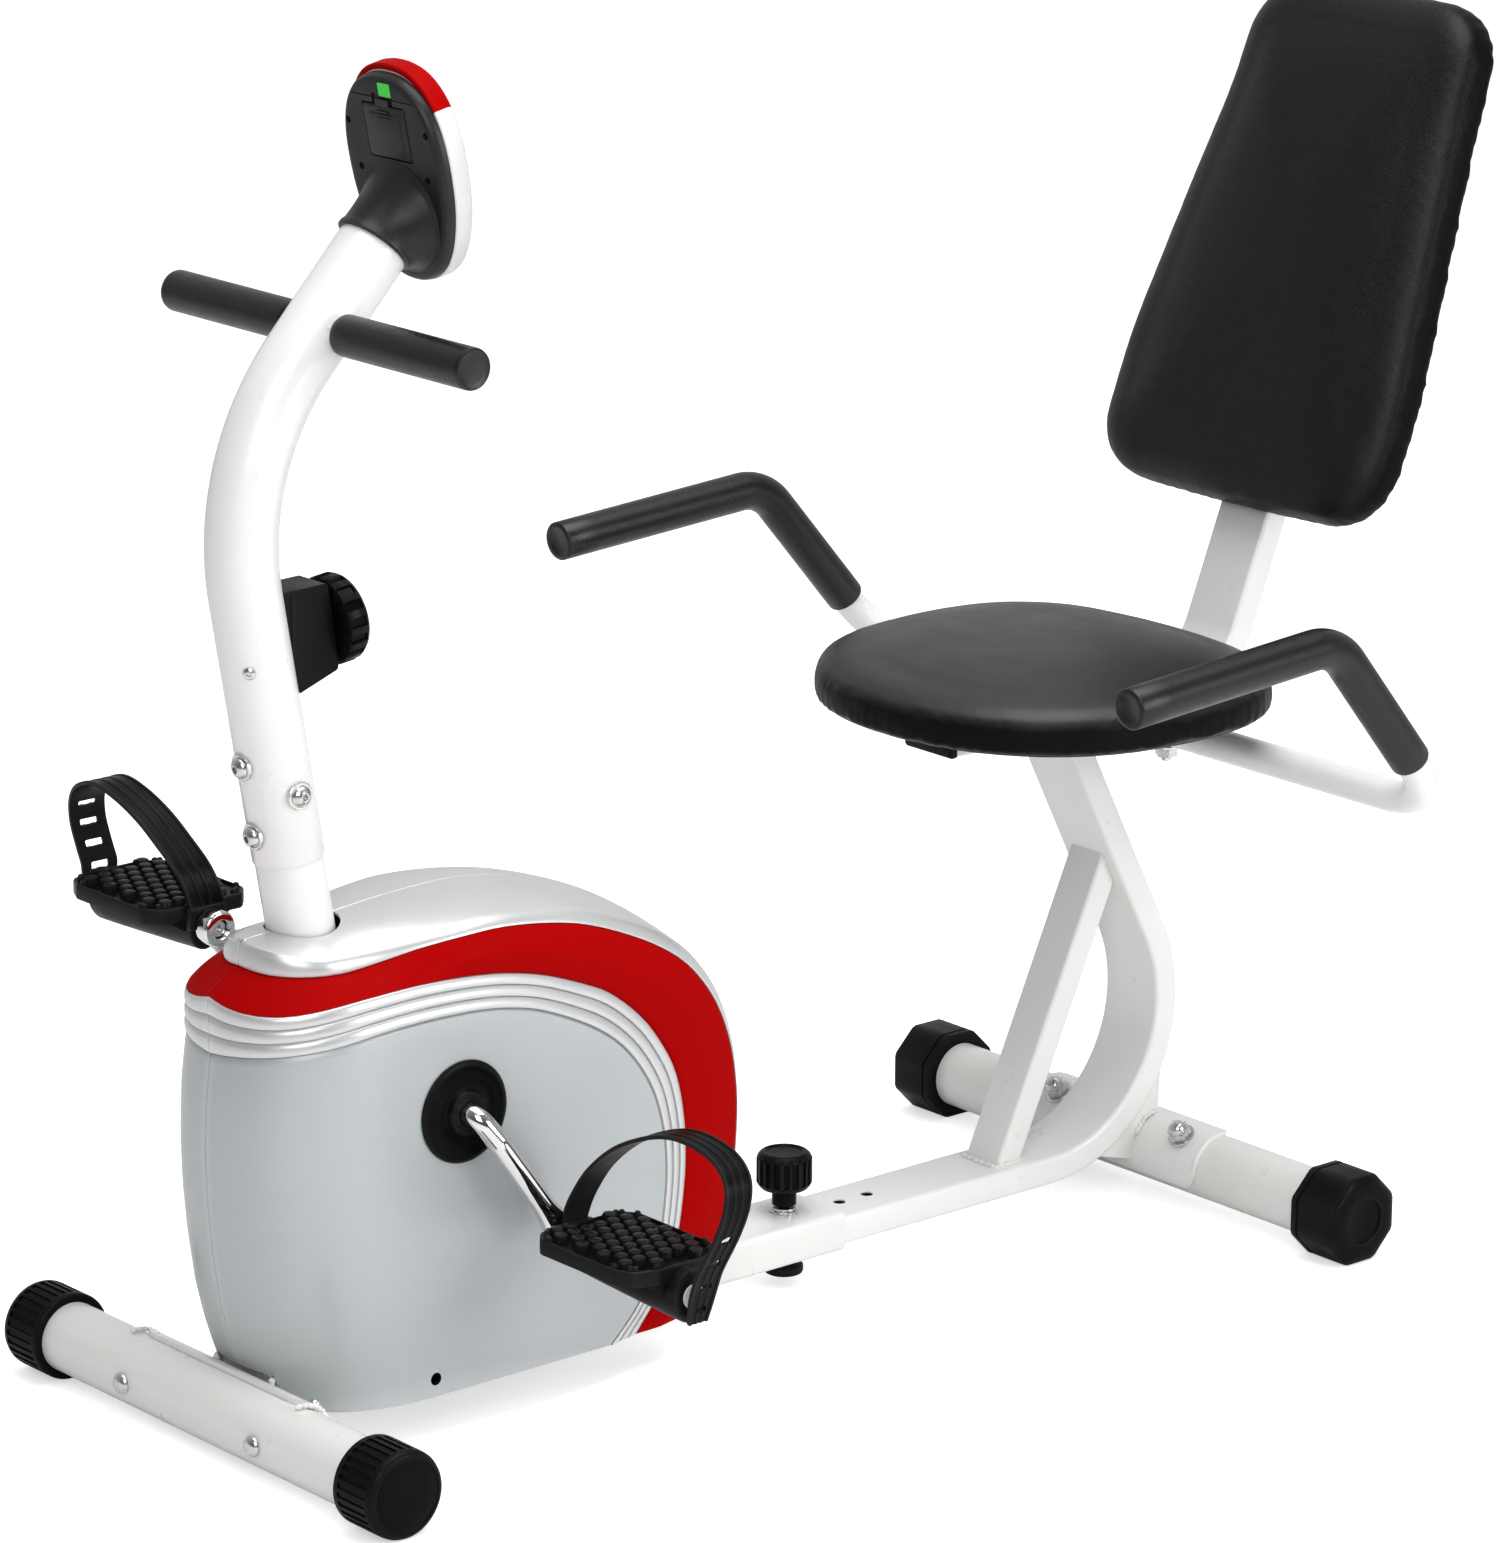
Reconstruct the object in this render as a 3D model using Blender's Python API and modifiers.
"""Recumbent exercise bike.

Frame: +X points from the pedals towards the seat, -Y is the rider's left,
+Z is up. Dimensions are millimetres; MM scales them to metres. They are
measured from a point on the floor under the axis of the front stabilizer, in
the plane of symmetry. The last step moves everything by SHIFT, so that the
finished origin is on the floor under the middle of the whole bike.

An axis along Y is given as its (x, z). A piece made without a material is a
hidden helper for a boolean. Profiles of turned pieces are (radius, height).
"""
import math

import bmesh
import bpy
from mathutils import Matrix, Vector

MM = 0.001
SHIFT = (-543.77, 0.0, -0.3)
SIDES = (("left", -1), ("right", 1))           # name, sign of Y

# ---- dimensions shared between sections ----------------------------------
GAP = 0.3                                      # clearance between pieces
BOLT_HOLE_R, SMALL_BOLT_HOLE_R = 4.4, 4.3

STABILIZER_R, STABILIZER_WALL, SADDLE_R = 25.4, 1.8, 29.2
FRONT_AXIS, FRONT_HALF, FRONT_BOLT_Y = (0, 31.8), 209.5, 76.0
REAR_AXIS, REAR_HALF, REAR_BOLT_Y = (871.7, 34.0), 239.5, 68.0

RAIL_HALF_W, RAIL_Z0, RAIL_Z1 = 28.5, 29.5, 51.1
PIN_X, PIN_R = 514.5, 4.0

STUB_LEAN = -0.1755                            # dx/dz of the front post
STUB_X0, STUB_Z0 = 77.1, 362.0                 # a point on the post axis
POST_R = 25.0
POST_END = Vector((146.4, 0, 823.2))

CRANK_AXIS, CRANK_LEN, CRANK_DEG = (152.5, 233.5), 118.5, -56.0
CRANK_SHELL_HALF, CRANK_SHELL_BORE = 30.0, 17.5
FLY_AXIS, FLY_R = (300.0, 155.0), 90.0
ARM_PIVOT_DEG, ARM_R0, ARM_R1 = 168.0, 93.5, 103.0   # magnet arm, about FLY_AXIS
DROPOUT_LEFT_Y, DROPOUT_RIGHT_Y = (-24, -20), (50, 54)
HEAD_GAP = 0.4                                 # bolt head to dropout

BAR_AXIS, BAR_R = (101.6, 772.1), 11.0

SEAT_TUBE_Z, SEAT_TUBE_T = 392.0, 22.0
BACK_SLOPE, BACK_X, BACK_Z = 0.404, 979.0, 508.0     # centre line of the backrest tube

# ---- scene ----------------------------------------------------------------
for old in list(bpy.data.objects):
    bpy.data.objects.remove(old, do_unlink=True)
PARTS = bpy.data.collections.new("Recumbent_Bike")
TOOLS = bpy.data.collections.new("Cutters")
bpy.context.scene.collection.children.link(PARTS)
bpy.context.scene.collection.children.link(TOOLS)


def material(name, colour, roughness, metallic=0.0):
    mat = bpy.data.materials.new(name)
    mat.use_nodes = True
    inputs = mat.node_tree.nodes["Principled BSDF"].inputs
    inputs["Base Color"].default_value = (*colour, 1.0)
    inputs["Roughness"].default_value = roughness
    inputs["Metallic"].default_value = metallic
    mat.diffuse_color = (*colour, 1.0)
    return mat


WHITE = material("white_paint", colour=(0.83, 0.82, 0.79), roughness=0.35)
BLACK = material("black_plastic", colour=(0.015, 0.015, 0.016), roughness=0.45)
FOAM = material("black_foam", colour=(0.012, 0.012, 0.012), roughness=0.7)
VINYL = material("black_vinyl", colour=(0.014, 0.014, 0.014), roughness=0.42)
SILVER = material("silver_plastic", colour=(0.55, 0.57, 0.6), roughness=0.38, metallic=0.1)
RED = material("red_plastic", colour=(0.42, 0.0, 0.003), roughness=0.3)
CHROME = material("chrome", colour=(0.8, 0.8, 0.8), roughness=0.08, metallic=1.0)
ZINC = material("zinc_steel", colour=(0.6, 0.6, 0.58), roughness=0.3, metallic=1.0)
IRON = material("cast_iron", colour=(0.12, 0.12, 0.12), roughness=0.55, metallic=0.9)
BELT = material("belt_rubber", colour=(0.02, 0.02, 0.02), roughness=0.8)
LENS = material("display_lens", colour=(0.25, 0.28, 0.26), roughness=0.1)


# ---- objects ----------------------------------------------------------------
def mesh_object(name, mesh, mat):
    """A finished piece, or a hidden helper if there is no material."""
    mesh.name = name
    ob = bpy.data.objects.new(name, mesh)
    if mat:
        PARTS.objects.link(ob)
        mesh.materials.append(mat)
    else:
        TOOLS.objects.link(ob)
        ob.hide_render = True
        ob.hide_set(True)
        ob.display_type = "WIRE"
    return ob


def object_from_bmesh(name, bm, mat):
    mesh = bpy.data.meshes.new(name)
    bm.to_mesh(mesh)
    bm.free()
    return mesh_object(name, mesh, mat)


def smooth(ob, angle=35.0):
    ob.data.shade_smooth()
    ob.data.set_sharp_from_angle(angle=math.radians(angle))
    return ob


def metres(x, y, z):
    return Vector((x * MM, y * MM, z * MM))


def axis_matrix(direction):
    """Rotation that takes +Z to the direction given."""
    return Vector(direction).normalized().to_track_quat("Z", "Y").to_matrix().to_4x4()


def box(name, corner, opposite, mat=None, bevel=0.0):
    size = [abs(b - a) for a, b in zip(corner, opposite)]
    bm = bmesh.new()
    bmesh.ops.create_cube(bm, size=1.0)
    bmesh.ops.scale(bm, vec=[s * MM for s in size], verts=bm.verts)
    ob = object_from_bmesh(name, bm, mat)
    ob.location = metres(*[(a + b) / 2 for a, b in zip(corner, opposite)])
    if bevel:
        edge = ob.modifiers.new("Edge", "BEVEL")
        edge.width = bevel * MM
        edge.segments = 1
        edge.limit_method = "ANGLE"
        edge.angle_limit = math.radians(40.0)
    return ob


def cylinder(name, start, end, radius, seg=24, mat=None):
    start, end = Vector(start), Vector(end)
    bm = bmesh.new()
    bmesh.ops.create_cone(bm, cap_ends=True, cap_tris=False, segments=seg,
                          radius1=radius * MM, radius2=radius * MM,
                          depth=(end - start).length * MM)
    ob = object_from_bmesh(name, bm, mat)
    ob.matrix_world = Matrix.Translation((start + end) / 2 * MM) @ axis_matrix(end - start)
    return smooth(ob)


def cylinder_y(name, axis, y0, y1, radius, seg=24, mat=None):
    x, z = axis
    return cylinder(name, (x, y0, z), (x, y1, z), radius, seg, mat)


def turned(name, profile, origin, direction, mat, steps=24, closed=False):
    """A Screw around +Z, put at the origin given with +Z along the direction.

    The profile runs down its outer side."""
    bm = bmesh.new()
    verts = [bm.verts.new((r * MM, 0.0, h * MM)) for r, h in profile]
    for a, b in zip(verts, verts[1:]):
        bm.edges.new((a, b))
    if closed:
        bm.edges.new((verts[-1], verts[0]))
    ob = object_from_bmesh(name, bm, mat)
    screw = ob.modifiers.new("Turn", "SCREW")
    screw.axis = "Z"
    screw.steps = screw.render_steps = steps
    screw.use_merge_vertices = True
    screw.merge_threshold = 0.00001
    screw.use_smooth_shade = True
    ob.matrix_world = Matrix.Translation(metres(*origin)) @ axis_matrix(direction)
    return ob


def turned_y(name, profile, axis, sign, mat, steps=24, closed=False):
    """Turned about an axis along Y; heights run towards sign * Y."""
    return turned(name, profile, (axis[0], 0, axis[1]), (0, sign, 0), mat, steps, closed)


def curve_object(name, curve, points, cyclic, frame, mat):
    """Put a polyline in the curve and turn the result into a mesh object."""
    spline = curve.splines.new("POLY")
    spline.points.add(len(points) - 1)
    for knot, (x, y, z) in zip(spline.points, points):
        knot.co = (x * MM, y * MM, z * MM, 1.0)
    spline.use_cyclic_u = cyclic
    source = bpy.data.objects.new(name, curve)
    bpy.context.scene.collection.objects.link(source)
    source.matrix_world = frame
    bpy.context.view_layer.update()
    depsgraph = bpy.context.evaluated_depsgraph_get()
    mesh = bpy.data.meshes.new_from_object(source.evaluated_get(depsgraph))
    bm = bmesh.new()
    bm.from_mesh(mesh)
    bmesh.ops.remove_doubles(bm, verts=bm.verts, dist=0.000002)
    bmesh.ops.recalc_face_normals(bm, faces=bm.faces)
    bm.to_mesh(mesh)
    bm.free()
    world = source.matrix_world.copy()
    bpy.data.objects.remove(source, do_unlink=True)
    ob = mesh_object(name, mesh, mat)
    ob.matrix_world = world
    return ob


def slab(name, outline, thickness, frame, mat=None):
    """A flat outline in the frame's XY plane, thickened equally to both sides."""
    curve = bpy.data.curves.new(name, "CURVE")
    curve.dimensions = "2D"
    curve.fill_mode = "BOTH"
    curve.extrude = thickness / 2 * MM
    return curve_object(name, curve, [(x, y, 0.0) for x, y in outline], True, frame, mat)


def prism(name, outline, y0, y1, mat=None):
    """An (x, z) outline extruded from y0 to y1."""
    frame = Matrix.Translation(metres(0, (y0 + y1) / 2, 0)) @ Matrix.Rotation(math.pi / 2, 4, "X")
    return slab(name, outline, y1 - y0, frame, mat)


def tube(name, path, radius, mat=None, resolution=3):
    """A round bar along a polyline."""
    curve = bpy.data.curves.new(name, "CURVE")
    curve.dimensions = "3D"
    curve.bevel_depth = radius * MM
    curve.bevel_resolution = resolution
    curve.use_fill_caps = True
    return smooth(curve_object(name, curve, path, False, Matrix.Identity(4), mat))


def loft(name, rings, mat, ring_closed=False, angle=35.0):
    """Skin a stack of rings; join last to first, or else cap both ends."""
    bm = bmesh.new()
    loops = [[bm.verts.new(Vector(p) * MM) for p in ring] for ring in rings]
    following = loops[1:] + loops[:1] if ring_closed else loops[1:]
    for a, b in zip(loops, following):
        for i in range(len(a)):
            j = (i + 1) % len(a)
            bm.faces.new((a[i], a[j], b[j], b[i]))
    if not ring_closed:
        bm.faces.new(loops[0][::-1])
        bm.faces.new(loops[-1])
    bmesh.ops.recalc_face_normals(bm, faces=bm.faces)
    return smooth(object_from_bmesh(name, bm, mat), angle)


def boolean(ob, others, operation):
    for other in others:
        mod = ob.modifiers.new(operation.title(), "BOOLEAN")
        mod.operation = operation
        mod.solver = "EXACT"
        mod.object = other


def weld(ob, *others):
    boolean(ob, others, "UNION")


def cut(ob, *others):
    boolean(ob, others, "DIFFERENCE")


# ---- outlines and paths -------------------------------------------------------
def rounded(corners, radii, steps=6):
    """A 3-D polyline with arcs of the radii given at its inner corners."""
    pts = [Vector(c) for c in corners]
    out = [pts[0]]
    for before, corner, after, radius in zip(pts, pts[1:], pts[2:], radii):
        a, b = (before - corner).normalized(), (after - corner).normalized()
        half = math.acos(max(-1.0, min(1.0, a.dot(b)))) / 2
        tangent = radius / math.tan(half)
        centre = corner + (a + b).normalized() * (radius / math.sin(half))
        start, end = corner + a * tangent - centre, corner + b * tangent - centre
        turn = math.acos(max(-1.0, min(1.0, start.normalized().dot(end.normalized()))))
        for k in range(steps + 1):
            f = k / steps
            mix = start * math.sin((1 - f) * turn) + end * math.sin(f * turn)
            out.append(centre + mix / math.sin(turn))
    out.append(pts[-1])
    return out


def strip(centre, thickness):
    """The outline of a flat bar of constant thickness along a 2-D path."""
    last = len(centre) - 1
    left, right = [], []
    for i, (x, z) in enumerate(centre):
        x0, z0 = centre[max(i - 1, 0)]
        x1, z1 = centre[min(i + 1, last)]
        dx, dz = x1 - x0, z1 - z0
        length = math.hypot(dx, dz)
        nx, nz = -dz / length * thickness / 2, dx / length * thickness / 2
        left.append((x + nx, z + nz))
        right.append((x - nx, z - nz))
    return left + right[::-1]


def polar(centre, radius, degrees):
    a = math.radians(degrees)
    return centre[0] + radius * math.cos(a), centre[1] + radius * math.sin(a)


def arc(centre, radius, a0, a1, n):
    return [polar(centre, radius, a0 + (a1 - a0) * i / n) for i in range(n + 1)]


def band(centre, r0, r1, a0, a1, n):
    return arc(centre, r1, a0, a1, n) + arc(centre, r0, a1, a0, n)


def catmull(points, per):
    """Catmull-Rom curve through the points, per steps to a span."""
    out = []
    last = len(points) - 1
    for i in range(last):
        near = points[max(i - 1, 0)], points[i], points[i + 1], points[min(i + 2, last)]
        for k in range(per):
            t = k / per
            out.append(tuple(
                0.5 * (2 * b + (c - a) * t + (2 * a - 5 * b + 4 * c - d) * t * t
                       + (3 * b - a - 3 * c + d) * t ** 3)
                for a, b, c, d in zip(*near)))
    out.append(points[-1])
    return out


def signed_power(value, exponent):
    return math.copysign(abs(value) ** exponent, value)


def sleeve_profile(end, open_end, radius, chamfer, bore, bore_end):
    """A cap or grip: closed and chamfered at its end, bored from its open end."""
    return [(0, end), (radius - chamfer, end), (radius, end - chamfer), (radius, open_end),
            (bore, open_end), (bore, bore_end), (0, bore_end)]


def post_x(z):
    return STUB_X0 + STUB_LEAN * (z - STUB_Z0)


def post_point(z):
    return post_x(z), 0, z


def crank_point(sign, along):
    """(x, z) at a distance from the crank axis along the arm of one side."""
    return polar(CRANK_AXIS, -sign * along, CRANK_DEG)


def back_x(z):
    return BACK_X + BACK_SLOPE * (z - BACK_Z)


ARM_PIVOT = polar(FLY_AXIS, ARM_R0 + 5, ARM_PIVOT_DEG)
POST_CORNER = Vector((19.7, 0, 688.9))
POST_END_DIR = (POST_END - POST_CORNER).normalized()

# ======================================================================
# Front stabilizer
# ======================================================================
FRONT_CAP_R, FRONT_CAP_LEN, FRONT_CAP_END = 31.5, 41.5, 214.5
CARRIAGE_BOLT = [(0, 5.0), (4.5, 4.0), (7.6, 1.2), (7.6, 0.3), (4.0, 0.3), (4.0, -62.0),
                 (0, -62.0)]


def stabilizer_tube(name, axis, half):
    inner_r = STABILIZER_R - STABILIZER_WALL
    profile = [(STABILIZER_R, half), (STABILIZER_R, -half), (inner_r, -half), (inner_r, half)]
    return turned_y(name, profile, axis, 1, WHITE, closed=True)


def build_front_stabilizer():
    stabilizer = stabilizer_tube("front_stabilizer_tube", FRONT_AXIS, FRONT_HALF)
    x, z = FRONT_AXIS
    for side, s in SIDES:
        profile = sleeve_profile(FRONT_CAP_END, FRONT_CAP_END - FRONT_CAP_LEN, FRONT_CAP_R, 2.5,
                                 STABILIZER_R + GAP, FRONT_HALF + GAP)
        turned_y(f"front_end_cap_{side}", profile, FRONT_AXIS, s, BLACK)
        # carriage bolts run front to back through tube and saddle
        y = s * FRONT_BOLT_Y
        turned(f"front_carriage_bolt_{side}", CARRIAGE_BOLT, (x - STABILIZER_R, y, z),
               (-1, 0, 0), ZINC, 12)
        cut(stabilizer,
            cylinder(f"cut_front_bolt_{side}", (-40, y, z), (60, y, z), BOLT_HOLE_R, 12))


# ======================================================================
# Main frame: saddle, hollow sleeve, post stub, crank shell, dropouts
# ======================================================================
SLEEVE_HALF_W, SLEEVE_Z0, SLEEVE_Z1, SLEEVE_END = 31.5, 26.5, 56.0, 547.0
SLEEVE_CLEAR = 0.4                             # play of the rail in the sleeve
STUB_R, STUB_WALL, STUB_TOP_Z = 22.3, 2.4, 500.0
CRANK_SHELL_R, AXLE_HOLE_R = 22.0, 5.2
# (x, z) outlines
SLEEVE = [(29, SLEEVE_Z0), (SLEEVE_END, SLEEVE_Z0), (SLEEVE_END, SLEEVE_Z1), (26, SLEEVE_Z1)]
GUSSET = [(88, 292), (150, 257), (176, 240), (170, 212), (146, 50), (112, 50)]
DROPOUT_LEFT = [(170, 50), (330, 50), (312, 165), (290, 168), (214, 188), (192, 180), (188, 160)]
DROPOUT_RIGHT = [(270, 50), (330, 50), (312, 165), (288, 165)]


def build_main_frame():
    frame = prism("main_frame", SLEEVE, -SLEEVE_HALF_W, SLEEVE_HALF_W, WHITE)
    shell = CRANK_SHELL_HALF
    weld(frame,
         prism("add_saddle", band(FRONT_AXIS, STABILIZER_R + GAP, SADDLE_R, 82, -62, 14),
               -95, 95),
         cylinder("add_stub", post_point(45), post_point(STUB_TOP_Z), STUB_R),
         prism("add_gusset", GUSSET, -4, 4),
         cylinder_y("add_crank_shell", CRANK_AXIS, -shell, shell, CRANK_SHELL_R),
         prism("add_dropout_left", DROPOUT_LEFT, *DROPOUT_LEFT_Y),
         prism("add_dropout_right", DROPOUT_RIGHT, *DROPOUT_RIGHT_Y),
         box("add_dropout_foot", (274, 25, 49), (326, 52, 55)),
         cylinder("add_foot_nut", (PIN_X, 0, 18.3), (PIN_X, 0, 27.5), 10.5, 6))
    half_w = RAIL_HALF_W + SLEEVE_CLEAR
    cut(frame,
        box("cut_sleeve", (160, -half_w, RAIL_Z0 - SLEEVE_CLEAR),
            (600, half_w, RAIL_Z1 + SLEEVE_CLEAR)),
        cylinder("cut_stub", post_point(90), post_point(520), STUB_R - STUB_WALL, 20),
        cylinder_y("cut_crank_shell", CRANK_AXIS, -40, 40, CRANK_SHELL_BORE),
        cylinder_y("cut_axle", FLY_AXIS, -40, 70, AXLE_HOLE_R, 12),
        cylinder_y("cut_pivot", ARM_PIVOT, -40, 30, SMALL_BOLT_HOLE_R, 12),
        cylinder("cut_pin", (PIN_X, 0, 45), (PIN_X, 0, 70), 9.3, 16),
        cylinder("cut_foot", (PIN_X, 0, 10), (PIN_X, 0, 29.3), 5.3, 12),
        cylinder("cut_cable", (60, 0, 305), (150, 0, 305), 9.0, 10))
    z = FRONT_AXIS[1]
    for side, s in SIDES:
        y = s * FRONT_BOLT_Y
        cut(frame,
            cylinder(f"cut_saddle_bolt_{side}", (10, y, z), (60, y, z), BOLT_HOLE_R, 12))
    return frame


# Profiles about the pin axis; heights are above the floor
PIN_SLEEVE = [(9.0, 60.0), (9.0, 51.8), (PIN_R + 0.5, 51.8), (PIN_R + 0.5, 60.0)]
LOCK_KNOB = [(0, 103.0), (16, 103.0), (20.5, 98.0), (20.5, 79.0), (17.5, 75.0),
             (9.0, 72.0), (9.0, 62.0), (PIN_R, 62.0), (PIN_R, 42.0), (0, 42.0)]
LEVELING_FOOT = [(0, 28.2), (5.0, 28.2), (5.0, 17.5), (9.0, 17.5), (14.5, 15.5),
                 (14.5, 10.5), (13.0, 9.0), (0, 9.0)]


def build_lock_pin_and_foot():
    """Sleeve and pull knob with its pin on top, screw foot underneath."""
    origin, up = (PIN_X, 0, 0), (0, 0, 1)
    turned("lock_pin_sleeve", PIN_SLEEVE, origin, up, ZINC, 20, closed=True)
    turned("lock_knob", LOCK_KNOB, origin, up, BLACK, 18)
    turned("leveling_foot", LEVELING_FOOT, origin, up, BLACK, 16)


# ======================================================================
# Crank, pulley, belt, flywheel and brake
# ======================================================================
CRANK_ROD_R = 8.2
CRANK_BORE = CRANK_ROD_R + GAP                 # of everything that sits on the rod
# Corners of one half of the crankshaft: distance along the arm, |y|
CRANK_CORNERS = [(CRANK_LEN - 8, 110.0), (24, 104), (0, 97)]
COVER_DISC = [(CRANK_BORE, 87.0), (15, 87.0), (16, 84.8), (36.5, 84.3), (36.5, 82.8),
              (CRANK_BORE, 82.8)]
BEARING_R, BEARING_INNER_Y = CRANK_SHELL_BORE - GAP, 21.0
BEARING = [(BEARING_R, CRANK_SHELL_HALF), (BEARING_R, BEARING_INNER_Y),
           (CRANK_BORE, BEARING_INNER_Y), (CRANK_BORE, CRANK_SHELL_HALF)]
PULLEY_R, PULLEY_Y0, PULLEY_Y1 = 95.0, 34.0, 44.0
PULLEY = [(PULLEY_R, PULLEY_Y1), (PULLEY_R, PULLEY_Y0), (72, PULLEY_Y0), (72, 37.0), (20, 37.0),
          (20, PULLEY_Y0 - 2), (CRANK_BORE, PULLEY_Y0 - 2), (CRANK_BORE, PULLEY_Y1)]
FLY_HUB_R = 12.0                               # the belt runs on this hub
FLYWHEEL = [(FLY_HUB_R, PULLEY_Y1), (FLY_HUB_R, 4.0), (70, 4.0), (70, 10.0), (FLY_R, 10.0),
            (FLY_R, -14.0), (70, -14.0), (70, -8.0), (24, -8.0), (24, -15.5), (5.3, -15.5),
            (5.3, PULLEY_Y1)]
HEAD_LEFT_Y, HEAD_RIGHT_Y = DROPOUT_LEFT_Y[0] - HEAD_GAP, DROPOUT_RIGHT_Y[1] + HEAD_GAP
AXLE = [(0, 60), (9, 60), (9, HEAD_RIGHT_Y), (4.9, HEAD_RIGHT_Y), (4.9, HEAD_LEFT_Y),
        (9, HEAD_LEFT_Y), (9, -30), (0, -30)]
BELT_THICK_R = 2.6                             # outer face of the belt above the pulleys
ARM_Y0, ARM_Y1 = -13, 9
ARM_PIN = [(0, 15), (3.9, 15), (3.9, HEAD_LEFT_Y), (7, HEAD_LEFT_Y), (7, -28), (0, -28)]


def crank_half(sign):
    """Corners of the crankshaft on one side, from the eye to the middle."""
    corners = []
    for along, y in CRANK_CORNERS:
        x, z = crank_point(sign, along)
        corners.append((x, sign * y, z))
    return corners


def build_crank():
    path = rounded(crank_half(-1) + crank_half(1)[::-1], [16, 8, 8, 16], 3)
    crank = tube("crankshaft", path, CRANK_ROD_R, CHROME, 2)
    for side, s in SIDES:
        eye = crank_point(s, CRANK_LEN)
        weld(crank, cylinder_y(f"add_eye_{side}", eye, s * 104, s * 118, 13.0, 16))
        cut(crank, cylinder_y(f"cut_eye_{side}", eye, s * 90, s * 130, 6.6, 16))
        turned_y(f"crank_cover_disc_{side}", COVER_DISC, CRANK_AXIS, s, BLACK, 20, closed=True)
        turned_y(f"crank_bearing_{side}", BEARING, CRANK_AXIS, s, ZINC, 16, closed=True)


def belt_loop(extra):
    """Two arcs joined by tangents, at a height above the two pulley faces."""
    dx, dz = FLY_AXIS[0] - CRANK_AXIS[0], FLY_AXIS[1] - CRANK_AXIS[1]
    lean = math.degrees(math.atan2(dz, dx))
    a = math.degrees(math.acos((PULLEY_R - FLY_HUB_R) / math.hypot(dx, dz)))
    return (arc(CRANK_AXIS, PULLEY_R + extra, lean + a, lean + 360 - a, 24)
            + arc(FLY_AXIS, FLY_HUB_R + extra, lean - a, lean + a, 6))


def build_drive():
    turned_y("drive_pulley", PULLEY, CRANK_AXIS, 1, BLACK, 32, closed=True)
    turned_y("flywheel", FLYWHEEL, FLY_AXIS, 1, IRON, 28, closed=True)
    turned_y("flywheel_axle", AXLE, FLY_AXIS, 1, ZINC, 12)
    belt = prism("drive_belt", belt_loop(BELT_THICK_R), PULLEY_Y0 + 1, PULLEY_Y1 - 1, BELT)
    cut(belt, prism("cut_belt", belt_loop(GAP + 0.1), 30, 50))


def build_brake():
    """Curved magnet arm above the flywheel, its pivot pin and the cable."""
    outline = band(FLY_AXIS, ARM_R0, ARM_R1, 103, ARM_PIVOT_DEG, 12)
    arm = prism("magnet_arm", outline, ARM_Y0, ARM_Y1, IRON)
    weld(arm, cylinder_y("add_arm_eye", ARM_PIVOT, ARM_Y0, ARM_Y1, 8.6, 16))
    cut(arm,
        cylinder_y("cut_arm_wheel", FLY_AXIS, -30, 30, FLY_R + 2.0, 32),
        cylinder_y("cut_arm_eye", ARM_PIVOT, -20, 20, SMALL_BOLT_HOLE_R, 12))
    turned_y("magnet_arm_pin", ARM_PIN, ARM_PIVOT, 1, ZINC, 12)
    cable = rounded([(52, 0, 548), post_point(520), (post_x(330) - 2, 0, 330), (118, 0, 300),
                     (190, 0, 292), (264, 0, 272)], [20, 40, 24, 60], 3)
    tube("tension_cable", cable, 1.5, BELT, 1)


# ======================================================================
# Upper post, bolts, tension control and handlebar
# ======================================================================
POST_WALL, POST_BOTTOM_Z, POST_BEND_R = 1.5, 413.0, 190.0
POST_PATH = rounded([post_point(POST_BOTTOM_Z), POST_CORNER, POST_END], [POST_BEND_R], 8)
# Two bolts from the front, square to the post, and one from the rider's left
POST_FRONT = Vector((-1, 0, STUB_LEAN)).normalized()
POST_BOLTS = (("front_upper", POST_FRONT, 486.0), ("front_lower", POST_FRONT, 436.0),
              ("side", Vector((0, -1, 0)), 462.0))   # name, way the head points, z
POST_BOLT = [(0, 6.4), (4.6, 5.8), (7.4, 3.4), (7.8, 1.6), (9.6, 1.6), (9.6, 0.0), (3.9, 0.0),
             (3.9, -9.0), (0, -9.0)]
HOUSING = [(40, 600), (93, 602), (97, 560), (100.5, 541), (50, 522)]   # (x, z)
HOUSING_HALF_W = 15.5
KNOB_TILT = math.radians(7)
KNOB_DIR = Vector((math.cos(KNOB_TILT), 0, math.sin(KNOB_TILT)))
KNOB_ORIGIN = Vector((98.5, 0, 571.0)) + KNOB_DIR * 1.0
KNOB = [(0, 20.0), (24, 20.0), (29.5, 17.5), (31.0, 14.0), (31.0, 1.0), (10, 1.0), (6.0, 1.0),
        (6.0, -9.0), (0, -9.0)]
BAR_HALF, GRIP_R, GRIP_INNER_Y = 164.2, 14.4, 26.5
BAR_TUBE_HALF = BAR_HALF - 6                   # the bar stops inside the closed grips


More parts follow.
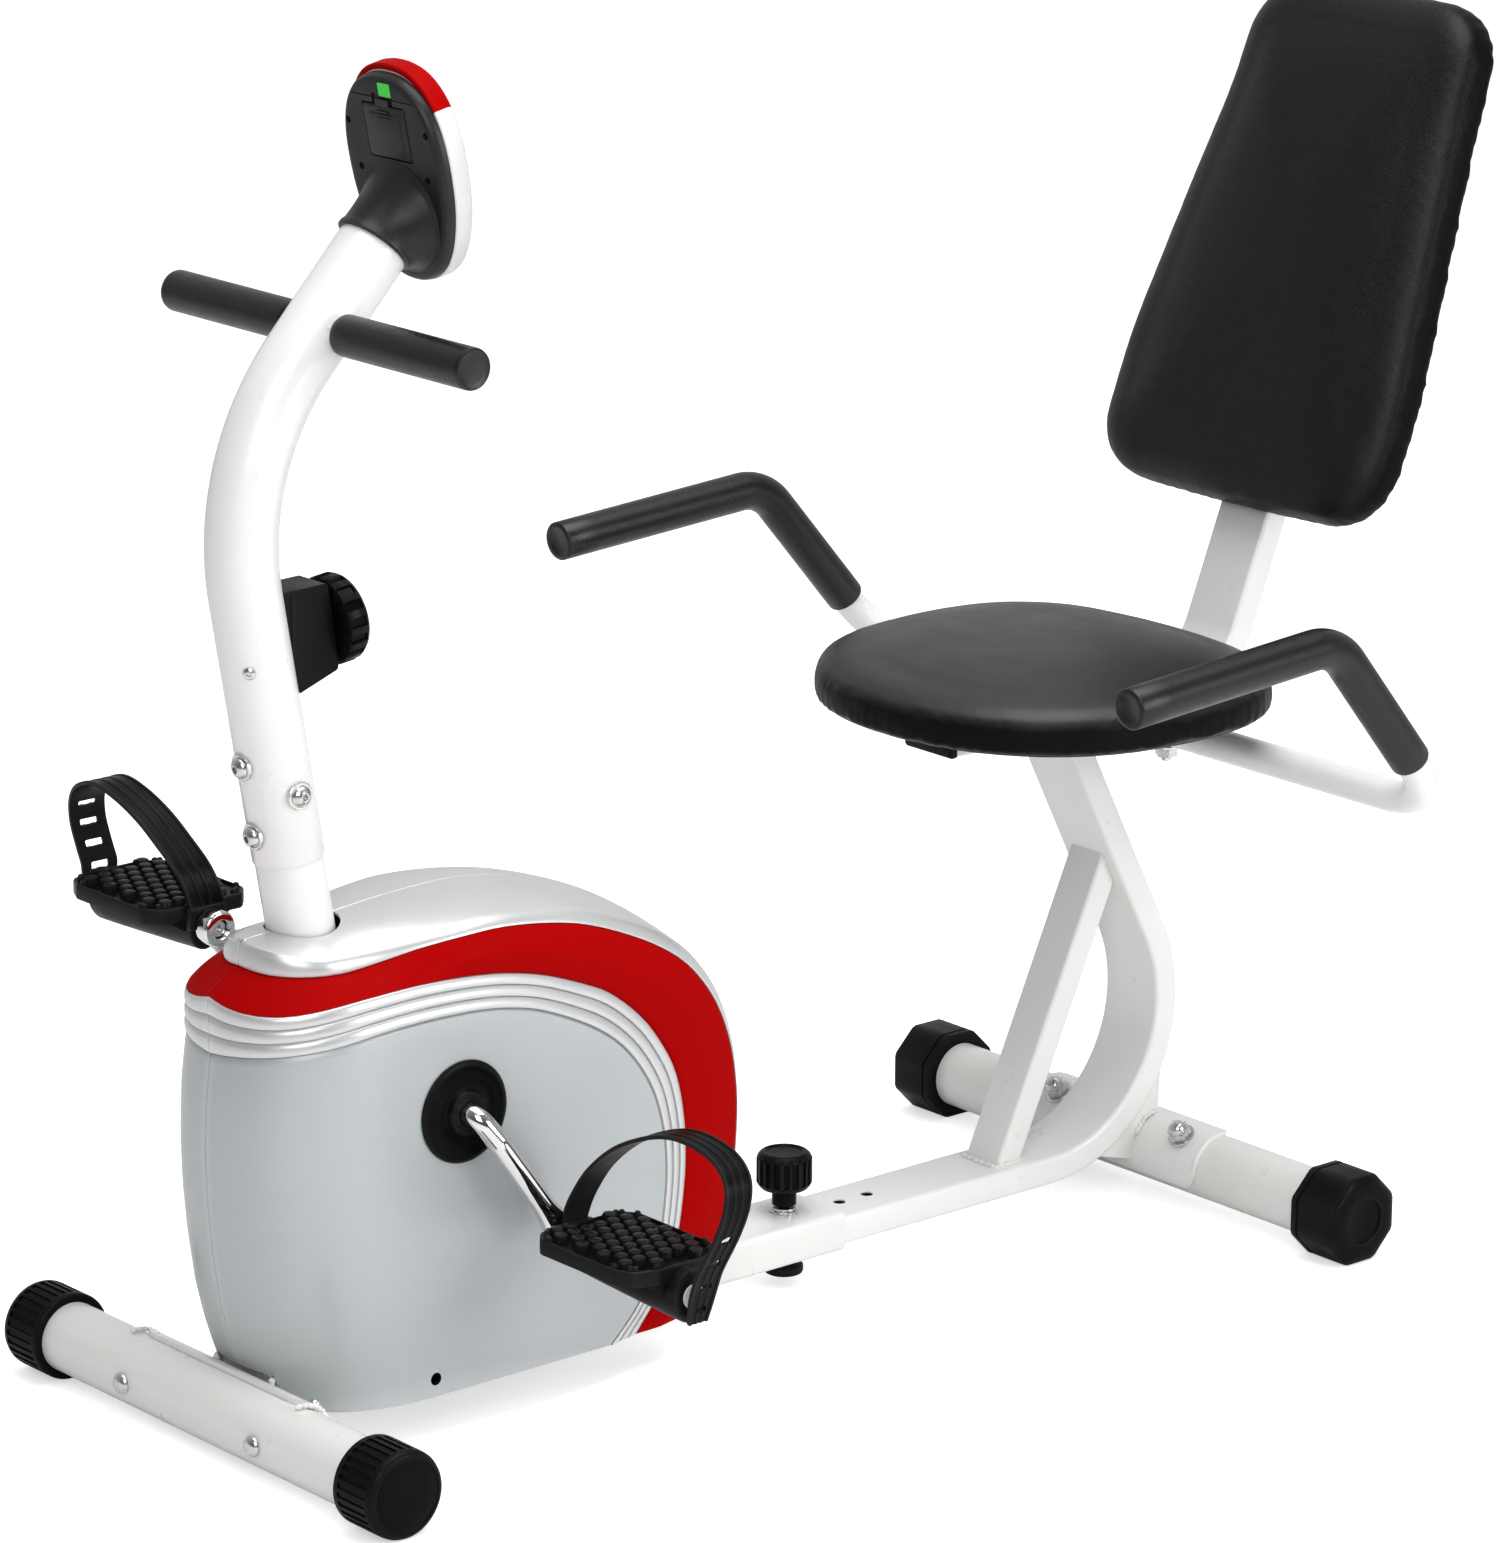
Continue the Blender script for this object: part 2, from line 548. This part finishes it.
def build_post(main_frame):
    post = tube("upper_post", POST_PATH, POST_R, WHITE, 4)
    bore = [post_point(POST_BOTTOM_Z - 20)] + POST_PATH[1:-1] + [POST_END + POST_END_DIR * 20]
    cut(post,
        tube("cut_post_bore", bore, POST_R - POST_WALL, None, 4),
        cylinder_y("cut_bar_hole", BAR_AXIS, -60, 60, 11.4, 20),
        cylinder("cut_cable_hole", (45, 0, 556), (90, 0, 562), 6.0, 12))
    for name, outward, z in POST_BOLTS:
        origin = Vector(post_point(z)) + outward * (POST_R + GAP)
        turned(f"post_bolt_{name}", POST_BOLT, origin, outward, ZINC, 12)
        hole = cylinder(f"cut_post_bolt_{name}", origin + outward * 20, origin - outward * 14,
                        SMALL_BOLT_HOLE_R, 12)
        cut(post, hole)
        cut(main_frame, hole)


def build_tension_control():
    """Housing on the rider's side of the post and the knob on it."""
    housing = prism("tension_housing", HOUSING, -HOUSING_HALF_W, HOUSING_HALF_W, BLACK)
    cut(housing, tube("cut_housing_post", POST_PATH[:-1], POST_R + GAP, None, 4))
    turned("tension_knob", KNOB, KNOB_ORIGIN, KNOB_DIR, BLACK)
    cut(housing, cylinder("cut_knob_shaft", KNOB_ORIGIN - KNOB_DIR * 12,
                          KNOB_ORIGIN + KNOB_DIR * 20, 6.5, 16))


def build_handlebar():
    cylinder_y("handlebar_tube", BAR_AXIS, -BAR_TUBE_HALF, BAR_TUBE_HALF, BAR_R, 20, WHITE)
    profile = sleeve_profile(BAR_HALF, GRIP_INNER_Y, GRIP_R, 2, BAR_R + GAP, BAR_TUBE_HALF + GAP)
    for side, s in SIDES:
        turned_y(f"handlebar_grip_{side}", profile, BAR_AXIS, s, FOAM, 20)


# ======================================================================
# Console: a teardrop in a plane whose lower edge is nearer to the rider
# ======================================================================
CON_TILT = math.radians(11.5)
CON_ORIGIN = Vector((164.5, 0, 867.5))
# local axes: x across (+Y), y up the console, z out towards the rider (+X)
CON = (Matrix.Translation(CON_ORIGIN * MM) @ Matrix.Rotation(-CON_TILT, 4, "Y")
       @ Matrix.Rotation(math.pi / 2, 4, "Z") @ Matrix.Rotation(math.pi / 2, 4, "X"))
CON_HALF_W, CON_TAPER, CON_HALF_H = 57.0, 9.0, 76.0
BUTTON_CENTRE, BUTTON_R, BUTTON_HOLE_R = (0, -26), 8.0, 8.4
BOOT_SEG, BOOT_WALL, BOOT_POST_R = 24, 2.3, 28.3
BOOT_OVAL_X, BOOT_OVAL_Y, BOOT_OVAL_DROP = 39.0, 38.5, 28.5    # on the console's back


def teardrop(scale, n=28):
    """The console's outline, narrower towards the bottom."""
    points = []
    for i in range(n):
        a = 2 * math.pi * i / n
        s, c = math.sin(a), math.cos(a)
        half_w = CON_HALF_W - CON_TAPER * (0.5 - 0.5 * s)
        points.append((half_w * scale * signed_power(c, 0.86),
                       CON_HALF_H * scale * signed_power(s, 0.9)))
    return points


def rect(x0, y0, x1, y1):
    return [(x0, y0), (x1, y0), (x1, y1), (x0, y1)]


def button_circle(radius):
    return arc(BUTTON_CENTRE, radius, 0, 337.5, 15)


def console_slab(name, outline, z0, z1, mat=None):
    frame = CON @ Matrix.Translation((0, 0, (z0 + z1) / 2 * MM))
    return slab(name, outline, z1 - z0, frame, mat)


def build_console():
    back = console_slab("console_back_cover", teardrop(0.98), 0.0, 10.0, BLACK)
    cut(back,
        console_slab("cut_battery", rect(-23, 12, 23, 50), -2.0, 4.0),
        console_slab("cut_back_hollow", teardrop(0.9), 6.0, 12.0))
    console_slab("battery_door", rect(-22.6, 12.4, 22.6, 49.6), -0.8, 3.6, BLACK)
    front = console_slab("console_front_shell", teardrop(1.0), 10.3, 26.0, SILVER)
    cut(front,
        console_slab("cut_front_hollow", teardrop(0.9), 9.0, 22.0),
        console_slab("cut_front_window", rect(-31, 2, 31, 38), 20.0, 28.0),
        console_slab("cut_button_hole", button_circle(BUTTON_HOLE_R), 20.0, 28.0))
    console_slab("display_lens", rect(-30.6, 2.4, 30.6, 37.6), 22.4, 25.6, LENS)
    console_slab("circuit_board", rect(-34, -36, 34, 40), 12.0, 13.6, IRON)
    console_slab("console_button", button_circle(BUTTON_R), 15.5, 28.0, RED)


def build_console_boot():
    """Conical boot from the round post end to an oval on the console's back."""
    across = Vector((0, 1, 0))
    post_up = Vector((-POST_END_DIR.z, 0, POST_END_DIR.x))
    con_up = (CON.to_3x3() @ Vector((0, 1, 0))).normalized()
    con_out = (CON.to_3x3() @ Vector((0, 0, 1))).normalized()
    oval_centre = CON_ORIGIN - con_up * BOOT_OVAL_DROP - con_out * GAP

    def section(f, shrink):
        ring = []
        post_r = BOOT_POST_R - shrink
        for i in range(BOOT_SEG):
            a = 2 * math.pi * i / BOOT_SEG
            c, s = math.cos(a), math.sin(a)
            on_post = (POST_END - POST_END_DIR * 1.5 + across * (post_r * c)
                       + post_up * (post_r * s))
            on_console = (oval_centre + across * ((BOOT_OVAL_X - shrink) * c)
                          + con_up * ((BOOT_OVAL_Y - shrink) * s))
            ring.append(on_post.lerp(on_console, f))
        return ring

    outer = [section(f, 0.0) for f in (0.0, 0.5, 1.0)]
    inner = [section(f, BOOT_WALL) for f in (1.0, 0.5, 0.0)]
    loft("console_boot", outer + inner, BLACK, ring_closed=True)


# ======================================================================
# Shroud halves
# ======================================================================
# (x, z) of the seam line in the plane of symmetry, and of the edge of the flat
# side panel, point for point; from the lower front over the top to the rear
SEAM = [(34, 30), (12, 78), (1, 120), (-5, 180), (-5, 240), (2, 300), (16, 342), (44, 358),
        (95, 362), (150, 370), (200, 371), (245, 366), (290, 354), (330, 337), (366, 311),
        (392, 278), (409, 240), (417, 200), (418, 160), (412, 115), (400, 76), (378, 48),
        (345, 32)]
PANEL = [(82, 30), (84, 78), (88, 120), (92, 180), (92, 240), (88, 285), (84, 299), (88, 301),
         (112, 303), (140, 303.5), (169, 302), (197, 298), (224, 290), (255, 276), (283, 259),
         (304, 240), (321, 215), (331, 190), (335, 160), (331, 118), (322, 84), (306, 55),
         (282, 32)]
# Rings from seam to panel. Columns: share of the way to the panel edge and
# share of the width, over most of the outline; the same two at the nose
SHROUD_RINGS = [(0.0, 0.0, 0.0, 0.0), (0.04, 0.55, 0.04, 0.28), (0.12, 0.76, 0.15, 0.53),
                (0.3, 0.86, 0.35, 0.76), (0.65, 0.95, 0.65, 0.94), (1.0, 1.0, 1.0, 1.0)]
NOSE_END, NOSE_FADE = 0.22, 0.1                # shares of the outline's point count
SHROUD_HALF_W, SEAM_Y, SHROUD_WALL = 82.3, 0.15, 2.4


def build_shroud(side, s):
    seam, panel = catmull(SEAM, 2), catmull(PANEL, 2)
    last = len(seam) - 1
    bm = bmesh.new()
    rings = []
    for inset, width, nose_inset, nose_width in SHROUD_RINGS:
        ring = []
        for i, ((x0, z0), (x1, z1)) in enumerate(zip(seam, panel)):
            u = i / last
            nose = 1.0 if u < NOSE_END else max(0.0, 1.0 - (u - NOSE_END) / NOSE_FADE)
            f = inset + (nose_inset - inset) * nose
            w = width + (nose_width - width) * nose
            y = SEAM_Y + (SHROUD_HALF_W - SEAM_Y) * w
            ring.append(bm.verts.new(metres(x0 + (x1 - x0) * f, s * y, z0 + (z1 - z0) * f)))
        rings.append(ring)
    for r0, r1 in zip(rings, rings[1:]):
        for i in range(last):
            bm.faces.new((r0[i], r0[i + 1], r1[i + 1], r1[i]))
    side_panel = bm.faces.new(rings[-1])
    bmesh.ops.recalc_face_normals(bm, faces=bm.faces)
    # the side panel must face away from the plane of symmetry
    if side_panel.normal.y * s < 0:
        bmesh.ops.reverse_faces(bm, faces=bm.faces)
    bmesh.ops.triangulate(bm, faces=[side_panel])
    shroud = object_from_bmesh(f"shroud_{side}", bm, SILVER)
    wall = shroud.modifiers.new("Wall", "SOLIDIFY")
    wall.thickness = SHROUD_WALL * MM
    wall.offset = -1.0
    wall.use_even_offset = False
    cut(shroud,
        box(f"cut_shroud_seam_{side}", (-60, s * 0.4, -5), (480, s * -20, 400)),
        box(f"cut_shroud_rail_{side}", (-60, -36, -10), (480, 36, 62)),
        cylinder_y(f"cut_shroud_tube_{side}", FRONT_AXIS, s * -10, s * 120, 34.0),
        cylinder_y(f"cut_shroud_crank_{side}", CRANK_AXIS, s * 60, s * 110, 17.0, 20),
        cylinder(f"cut_shroud_post_{side}", post_point(300), post_point(400), 25.0, 20))


# ======================================================================
# Pedals
# ======================================================================
PEDAL_Y0, PEDAL_Y1, PEDAL_HALF_LEN = 124.0, 236.0, 44
SPINDLE = [(0, 222), (5.9, 222), (5.9, 123.4), (8.0, 123.4), (8.0, 118.6), (6.2, 118.6),
           (6.2, 107.0), (0, 107.0)]
STRAP_T = 2.5
# Per side: strap width along X, then its path as (|y|, z above the pedal axis)
STRAPS = {
    "left": (26.0, [(121.5, 2), (121.5, 23), (127, 39), (138, 57), (159, 76), (187, 90),
                    (213, 97), (238, 97), (260, 92), (275, 81), (279, 64), (275, 44),
                    (266, 21), (258, 0), (252, -22)]),
    "right": (30.0, [(121.5, -2), (121.5, 24), (127, 41), (141, 57), (158, 73), (180, 85),
                     (203, 90), (226, 83), (240, 70), (248, 52), (250, 34), (250, 14),
                     (250, -6)]),
}


def build_pedal(side, s):
    eye = x, z = crank_point(s, CRANK_LEN)
    body = box(f"pedal_{side}", (x - PEDAL_HALF_LEN, s * PEDAL_Y0, z + 4),
               (x + PEDAL_HALF_LEN, s * PEDAL_Y1, z + 20), BLACK, bevel=9.0)
    weld(body, cylinder(f"add_pedal_barrel_{side}", (x + 2, s * PEDAL_Y0, z - 2),
                        (x + 2, s * 246.0, z - 4), 17.0, 20))
    cut(body, cylinder_y(f"cut_pedal_bore_{side}", eye, s * 120, s * 228, 6.4, 16))
    turned_y(f"pedal_spindle_{side}", SPINDLE, eye, s, ZINC, 16)
    # flat strap arching over the pedal from its inner to its outer side
    width, run = STRAPS[side]
    outline = strip([(s * y, z + rise) for y, rise in run], STRAP_T)
    # local x -> +Y, local y -> +Z, local z -> +X
    frame = Matrix(((0, 0, 1, x * MM), (1, 0, 0, 0), (0, 1, 0, 0), (0, 0, 0, 1)))
    strap = slab(f"pedal_strap_{side}", outline, width, frame, BLACK)
    cut(strap, cylinder_y(f"cut_strap_{side}", eye, s * 112, s * 128, 8.5, 16))


# ======================================================================
# Rear frame and stabilizer
# ======================================================================
RAIL_FRONT, RAIL_T, RAIL_MID_Z = 244.0, RAIL_Z1 - RAIL_Z0, (RAIL_Z0 + RAIL_Z1) / 2
HOLE_PITCH, HOLES_FRONT, HOLES_REAR = 27.0, 9, 3     # lock holes each side of the pin
BEND_R = 115.0
BEND_CENTRE = (759.0, RAIL_MID_Z + BEND_R)     # the rail bends up round this
UPPER_SLOPE, UPPER_X, UPPER_Z = -0.52, 853.0, 225.0  # dx/dz and a point of the upper run
REAR_TOP_Z = SEAT_TUBE_Z - SEAT_TUBE_T / 2 - GAP
# (x, z) outlines
BRACE = [(707.1, 45), (731.4, 45), (832.3, 264.9), (819.4, 289.7)]
REAR_WEB = [(802, 42), (845, 28), (845, 48), (856, 61), (869, 62), (872, 104), (845, 84)]
REAR_CAP_APOTHEM, REAR_CAP_LEN, REAR_CAP_END, REAR_CAP_SIDES = 33.7, 44.0, 244.5, 8
REAR_BOLT_DIR = Vector((-0.6, 0, 0.8))
REAR_BOLT = [(0, 14.5), (3.5, 13.6), (5.6, 11.0), (6.2, 7.0), (8.2, 7.0), (8.2, 2.0),
             (10.5, 1.8), (10.5, 0.2), (3.9, 0.2), (3.9, -56.0), (0, -56.0)]


def build_rear_frame():
    """Rail, bend and upper run in one bar, cut level under the seat tube."""
    end_z = REAR_TOP_Z + 12
    centre = [(RAIL_FRONT, RAIL_MID_Z)]
    centre += arc(BEND_CENTRE, BEND_R, -90.0, 27.5, 18)
    centre.append((UPPER_X + UPPER_SLOPE * (end_z - UPPER_Z), end_z))
    frame = prism("rear_frame", strip(centre, RAIL_T), -RAIL_HALF_W, RAIL_HALF_W, WHITE)
    weld(frame,
         prism("add_brace", BRACE, -18, 18),
         prism("add_rear_web", REAR_WEB, -26, 26),
         prism("add_rear_saddle", band(REAR_AXIS, STABILIZER_R + GAP, SADDLE_R, 62, 205, 14),
               -92, 92))
    cut(frame, box("cut_rear_top", (600, -60, REAR_TOP_Z), (900, 60, 460)))
    for k in range(-HOLES_REAR, HOLES_FRONT + 1):
        x = PIN_X - k * HOLE_PITCH
        cut(frame, cylinder(f"cut_rail_hole_{k + HOLES_REAR}", (x, 0, 40.5), (x, 0, 60),
                            PIN_R + 0.7, 8))
    return frame


def build_rear_cap(side, s):
    """Octagonal end cap with a flat on top."""
    half_turn = math.pi / REAR_CAP_SIDES
    profile = sleeve_profile(REAR_CAP_END, REAR_CAP_END - REAR_CAP_LEN,
                             REAR_CAP_APOTHEM / math.cos(half_turn), 5,
                             (STABILIZER_R + GAP) / math.cos(half_turn), REAR_HALF + GAP)
    cap = turned_y(f"rear_end_cap_{side}", profile, REAR_AXIS, s, BLACK, REAR_CAP_SIDES)
    cap.modifiers["Turn"].use_smooth_shade = False
    cap.matrix_world = cap.matrix_world @ Matrix.Rotation(half_turn, 4, "Z")


def build_rear_stabilizer(rear_frame):
    stabilizer = stabilizer_tube("rear_stabilizer_tube", REAR_AXIS, REAR_HALF)
    for side, s in SIDES:
        build_rear_cap(side, s)
        head = Vector((REAR_AXIS[0], s * REAR_BOLT_Y, REAR_AXIS[1])) + REAR_BOLT_DIR * 29.5
        turned(f"rear_bolt_{side}", REAR_BOLT, head, REAR_BOLT_DIR, ZINC, 12)
        hole = cylinder(f"cut_rear_bolt_{side}", head + REAR_BOLT_DIR * 30,
                        head - REAR_BOLT_DIR * 70, BOLT_HOLE_R, 12)
        cut(rear_frame, hole)
        cut(stabilizer, hole)


# ======================================================================
# Seat support and side handles
# ======================================================================
SEAT_TUBE_HALF, SEAT_TUBE_FRONT, BACK_TUBE_TOP_Z, SEAT_BEND_R = 26.0, 656.5, 735, 60.0
# Half of the side handle: front end, top corner, lower corner at the cross bar
HANDLE_X = 878.0                               # of the cross bar
HANDLE_HALF = [(556.5, 310.7, 496.3), (753.6, 309.2, 509.0), (HANDLE_X, 304.2, 362.5)]
HANDLE_R, SIDE_GRIP_R = 12.0, 14.8
HANDLE_TOP_BEND, HANDLE_LOW_BEND = 42.0, 58.0
HANDLE_BOLT_Y = 17.0
HANDLE_BOLT = [(0, 394.0), (4.0, 394.0), (4.0, 380.5), (9.0, 380.5), (9.0, 375.0),
               (4.0, 375.0), (4.0, 350.0), (9.5, 350.0), (8.0, 342.0), (4.0, 342.0),
               (4.0, 338.5), (0, 338.5)]       # heights are above the floor


def build_seat_tube():
    """One bent flat-sided tube carries the seat and the backrest."""
    path = rounded([(SEAT_TUBE_FRONT, 0, SEAT_TUBE_Z), (back_x(SEAT_TUBE_Z), 0, SEAT_TUBE_Z),
                    (back_x(BACK_TUBE_TOP_Z), 0, BACK_TUBE_TOP_Z)], [SEAT_BEND_R], 8)
    outline = strip([(p.x, p.z) for p in path], SEAT_TUBE_T)
    seat_tube = prism("seat_back_tube", outline, -SEAT_TUBE_HALF, SEAT_TUBE_HALF, WHITE)
    cut(seat_tube, box("cut_seat_plug", (640, -22.5, 384.5), (680, 22.5, 399.5)))
    plug = box("seat_tube_plug", (650.5, -26.2, 380.8), (656.2, 26.2, 403.2), BLACK, bevel=1.5)
    weld(plug, box("add_plug_core", (655, -22, 385), (674, 22, 399)))
    return seat_tube


def handle_half(sign):
    return [Vector((x, sign * y, z)) for x, y, z in HANDLE_HALF]


def build_side_grip(side, s):
    """Foam sleeve on the front leg, round the bend and down the rear leg."""
    front, corner, elbow = handle_half(s)
    ahead = (front - corner).normalized()
    low = corner.lerp(elbow, 0.687)
    down = (elbow - corner).normalized()
    outer = rounded([front + ahead * 3.0, corner, low], [HANDLE_TOP_BEND], 5)
    inner = rounded([front + ahead * -4.0, corner, low + down * 20], [HANDLE_TOP_BEND], 5)
    grip = tube(f"side_grip_{side}", outer, SIDE_GRIP_R, FOAM)
    cut(grip, tube(f"cut_grip_{side}", inner, HANDLE_R + GAP, None, 2))


def build_side_handles(seat_tube):
    path = rounded(handle_half(1) + handle_half(-1)[::-1],
                   [HANDLE_TOP_BEND, HANDLE_LOW_BEND, HANDLE_LOW_BEND, HANDLE_TOP_BEND], 5)
    handle = tube("side_handle_tube", path, HANDLE_R, WHITE, 2)
    for side, s in SIDES:
        build_side_grip(side, s)
    # the tube stops inside the closed end of each sleeve
    cut(handle, box("cut_handle_ends", (500, -400, 400), (561.5, 400, 560)))
    # clamp bolts pass down from the seat tube through the cross bar
    for side, s in SIDES:
        y = s * HANDLE_BOLT_Y
        turned(f"handle_bolt_{side}", HANDLE_BOLT, (HANDLE_X, y, 0), (0, 0, 1), ZINC, 12)
        hole = cylinder(f"cut_handle_bolt_{side}", (HANDLE_X, y, 330), (HANDLE_X, y, 396),
                        BOLT_HOLE_R, 12)
        cut(handle, hole)
        cut(seat_tube, hole)


# ======================================================================
# Pads
# ======================================================================
PAD_SHARP_ANGLE = 50
SEAT_CX, SEAT_RX, SEAT_RY, SEAT_Z0, SEAT_Z1 = 751.0, 158.0, 168.0, 403.5, 449.0
SEAT_RINGS = [(0.93, SEAT_Z0), (1.0, SEAT_Z0 + 10), (1.0, SEAT_Z1 - 16),
              (0.95, SEAT_Z1 - 5), (0.8, SEAT_Z1)]   # (scale, z)

BACK_DIR = Vector((BACK_SLOPE, 0, 1)).normalized()
BACK_NORMAL = Vector((-BACK_DIR.z, 0, BACK_DIR.x))   # towards the rider
BACK_MID_Z = 703
BACK_MID = (Vector((back_x(BACK_MID_Z), 0, BACK_MID_Z))
            + BACK_NORMAL * (SEAT_TUBE_T / 2 + 0.5))
# Length, half widths at top and bottom, thickness, corner radius
BACK_LEN, BACK_TOP, BACK_BOTTOM, BACK_THICK, BACK_CORNER_R = 396.0, 116.0, 146.0, 48.0, 52.0
BACK_RINGS = [(6, 0.0), (0, 9.0), (0, BACK_THICK - 14.0), (6, BACK_THICK - 4.0),
              (20, BACK_THICK)]                # (inset, depth towards the rider)


def seat_ring(scale, z, n=36):
    ring = []
    for i in range(n):
        a = 2 * math.pi * i / n
        ring.append((SEAT_CX + scale * SEAT_RX * signed_power(math.cos(a), 0.82),
                     scale * SEAT_RY * signed_power(math.sin(a), 0.82), z))
    return ring


def back_ring(inset, depth):
    ring = []
    r = BACK_CORNER_R - inset
    half_len = BACK_LEN / 2 - inset
    # sign across, sign along, half width at that end
    corners = [(1, 1, BACK_TOP), (-1, 1, BACK_TOP), (-1, -1, BACK_BOTTOM), (1, -1, BACK_BOTTOM)]
    for k, (across, along, half_w) in enumerate(corners):
        for i in range(7):
            a = math.radians(90.0 * k + 15.0 * i)
            u = across * (half_w - inset - r) + r * math.cos(a)
            v = along * (half_len - r) + r * math.sin(a)
            ring.append(BACK_MID + Vector((0, 1, 0)) * u + BACK_DIR * v + BACK_NORMAL * depth)
    return ring


def build_pads():
    loft("seat_pad", [seat_ring(*r) for r in SEAT_RINGS], VINYL, angle=PAD_SHARP_ANGLE)
    loft("back_pad", [back_ring(*r) for r in BACK_RINGS], VINYL, angle=PAD_SHARP_ANGLE)


def move_origin():
    """Shift everything to the middle of the footprint."""
    bpy.context.view_layer.update()
    for ob in list(PARTS.objects) + list(TOOLS.objects):
        ob.matrix_world = Matrix.Translation(Vector(SHIFT) * MM) @ ob.matrix_world


build_front_stabilizer()
main_frame_object = build_main_frame()
build_lock_pin_and_foot()
build_crank()
build_drive()
build_brake()
build_post(main_frame_object)
build_tension_control()
build_handlebar()
build_console()
build_console_boot()
for side_name, side_sign in SIDES:
    build_shroud(side_name, side_sign)
for side_name, side_sign in SIDES:
    build_pedal(side_name, side_sign)
rear_frame_object = build_rear_frame()
build_rear_stabilizer(rear_frame_object)
seat_tube_object = build_seat_tube()
build_side_handles(seat_tube_object)
build_pads()
move_origin()
